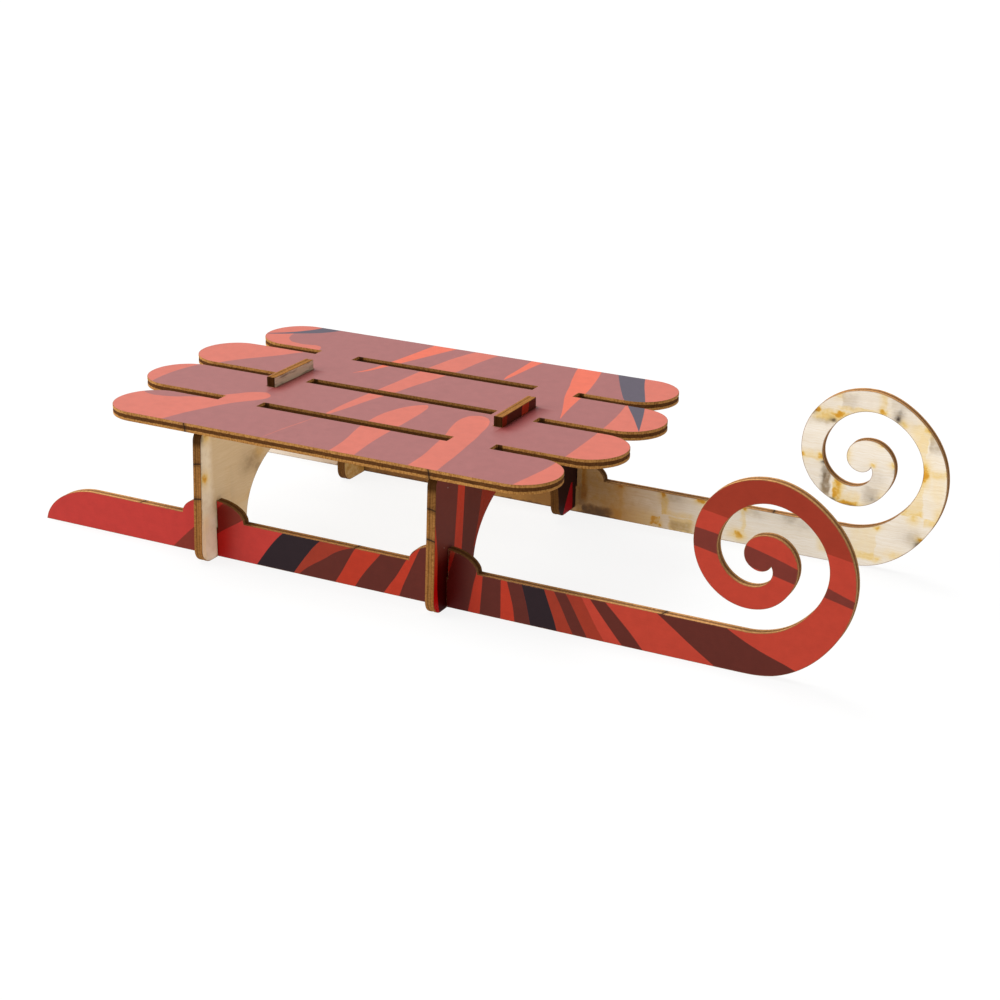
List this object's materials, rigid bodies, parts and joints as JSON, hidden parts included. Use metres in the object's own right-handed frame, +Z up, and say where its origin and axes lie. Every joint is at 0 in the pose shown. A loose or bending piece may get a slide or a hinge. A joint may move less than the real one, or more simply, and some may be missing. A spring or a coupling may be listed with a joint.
{
  "type": "wooden toboggan",
  "caption": "Small decorative toboggan slotted together from laser-cut plywood: slatted deck, arched cross legs and runners that end in spiral curls.",
  "frame": {"origin": "on the ground under the middle of the bounding box", "axes": "+X forwards, towards the curled ends of the runners; +Y to the toboggan's left; +Z up"},
  "size_m": [0.2834, 0.1134, 0.0595],
  "materials": {
    "deck_sheet": "thin plywood, satin print on top in mauve brown with coral stripes, laser-scorched edges, bare underneath",
    "runner_sheet": "thin plywood, satin print outside in red, brown and navy bands, laser-scorched edges, bare inside",
    "leg_sheet": "thin plywood, one face bare with laser flash marks, one face printed in brown with red strips, scorched edges"
  },
  "bodies": {
    "root": {"deck": "deck_sheet", "left_runner": "runner_sheet", "right_runner": "runner_sheet", "front_leg": "leg_sheet", "rear_leg": "leg_sheet"}
  },
  "joints": []
}
